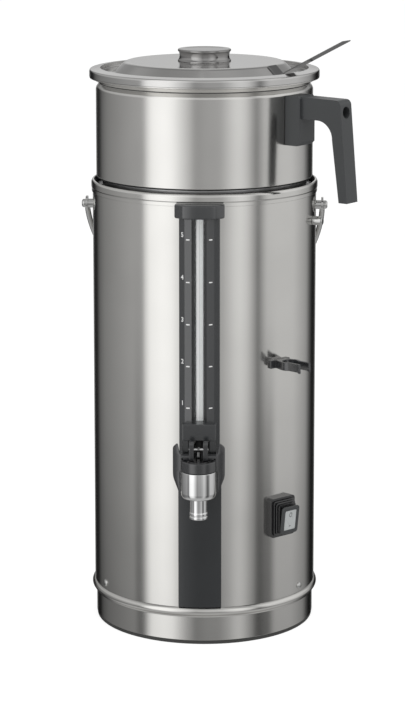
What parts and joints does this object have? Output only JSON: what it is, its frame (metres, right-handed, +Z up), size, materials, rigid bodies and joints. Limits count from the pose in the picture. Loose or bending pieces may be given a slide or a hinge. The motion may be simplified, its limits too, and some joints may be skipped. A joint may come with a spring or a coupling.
{
  "type": "coffee urn",
  "caption": "Insulated steel coffee urn with a lever tap, a sight gauge, a rocker switch, a holder clip, a hanging bail and a lift-off filter basket with a loose lid.",
  "frame": {"origin": "on the body's axis at the underside of the foot ring", "axes": "+Z up along the body's axis, -Y towards the tap side, +X to the right seen from the tap side"},
  "size_m": [0.2503, 0.2489, 0.5432],
  "materials": {
    "satin_steel": "satin, fine vertical grain",
    "bright_steel": "bright brushed",
    "turned_steel": "turned, polished",
    "plain_steel": "plain sheet",
    "fastener_steel": "bright",
    "bail_steel": "bright drawn",
    "tap_chrome": "polished",
    "dark_plastic": "fine grained, dark grey",
    "black_plastic": "black",
    "black_rubber": "matt black",
    "blackened_steel": "blackened",
    "switch_window": "pale, translucent",
    "gauge_glass": "clear",
    "gauge_strip": "white",
    "insulation_jacket": "mineral wool",
    "tap_nut": "plain",
    "inlet_pins": "plain",
    "heater_plate": "plain",
    "terminal_block": "white nylon",
    "wire_sleeve": "silicone sleeve"
  },
  "bodies": {
    "urn": {"base_ring": "satin_steel", "outer_shell": "satin_steel", "top_ring": "satin_steel", "base_plate": "plain_steel", "inner_tank": "plain_steel", "outlet_pipe": "plain_steel", "heating_element": "plain_steel", "base_screws": "fastener_steel", "gauge_screws": "fastener_steel", "clip_screw": "fastener_steel", "bail_nuts": "fastener_steel", "valve_spring": "fastener_steel", "bail_bolts": "bail_steel", "bail_spacers": "bail_steel", "bail_stop": "bail_steel", "tap_body": "tap_chrome", "gauge_housing": "dark_plastic", "gauge_cap": "dark_plastic", "lower_trim": "dark_plastic", "holder_clip": "dark_plastic", "switch_bezel": "black_plastic", "switch_body": "black_plastic", "power_inlet": "black_plastic", "tap_bonnet": "black_plastic", "foot_ring": "black_rubber", "switch_boot": "black_rubber", "tap_gasket": "black_rubber", "gauge_seal_lower": "black_rubber", "gauge_seal_upper": "black_rubber", "gauge_riser": "black_rubber", "gauge_glass": "gauge_glass", "gauge_strip": "gauge_strip", "insulation_jacket": "insulation_jacket", "tap_nut": "tap_nut", "inlet_pins": "inlet_pins", "heater_plate": "heater_plate", "thermostat": "heater_plate", "thermal_cutout": "heater_plate", "terminal_block": "terminal_block", "wire_inlet": "wire_sleeve", "wire_heater": "wire_sleeve", "wire_switch": "wire_sleeve", "wire_cutout": "wire_sleeve"},
    "basket": {"filter_basket": "satin_steel", "filter_plate": "plain_steel", "basket_handle": "dark_plastic", "handle_plate": "plain_steel", "handle_screw": "fastener_steel", "handle_nut": "fastener_steel"},
    "lid": {"lid": "bright_steel", "lid_knob": "turned_steel", "knob_screw": "fastener_steel", "lid_thumb_lever": "bright_steel"},
    "bail": {"bail": "bail_steel"},
    "stem": {"valve_stem": "blackened_steel", "valve_seal": "black_rubber"},
    "lever": {"tap_lever": "dark_plastic", "lever_pin": "fastener_steel"},
    "rocker": {"switch_rocker": "black_plastic", "switch_window": "switch_window"}
  },
  "joints": [
    {"name": "basket_lift", "type": "slide", "parent": "urn", "child": "basket", "axis": [0, 0, 1], "range_m": [0, 0.06]},
    {"name": "lid_lift", "type": "slide", "parent": "basket", "child": "lid", "axis": [0, 0, 1], "range_m": [0, 0.04]},
    {"name": "bail_swing", "type": "hinge", "parent": "urn", "child": "bail", "pos_m": [0, 0, 0.3857], "axis": [1, 0, 0], "range_deg": [0, 92]},
    {"name": "stem_lift", "type": "slide", "parent": "urn", "child": "stem", "axis": [0, 0, 1], "range_m": [0, 0.0031], "deforming": ["valve_spring"]},
    {"name": "tap_lever", "type": "hinge", "parent": "stem", "child": "lever", "pos_m": [0, -0.126, 0.187], "axis": [-1, 0, 0], "range_deg": [0, 25], "stiffness_Nm_per_rad": 0.4},
    {"name": "switch_rocker", "type": "hinge", "parent": "urn", "child": "rocker", "pos_m": [0.0731, -0.07704, 0.1136], "axis": [-0.7254, -0.6884, 0], "range_deg": [0, 14]}
  ],
  "couplings": [
    {"joint": "stem_lift", "follows": "tap_lever", "m_per_rad": 0.006875}
  ]
}
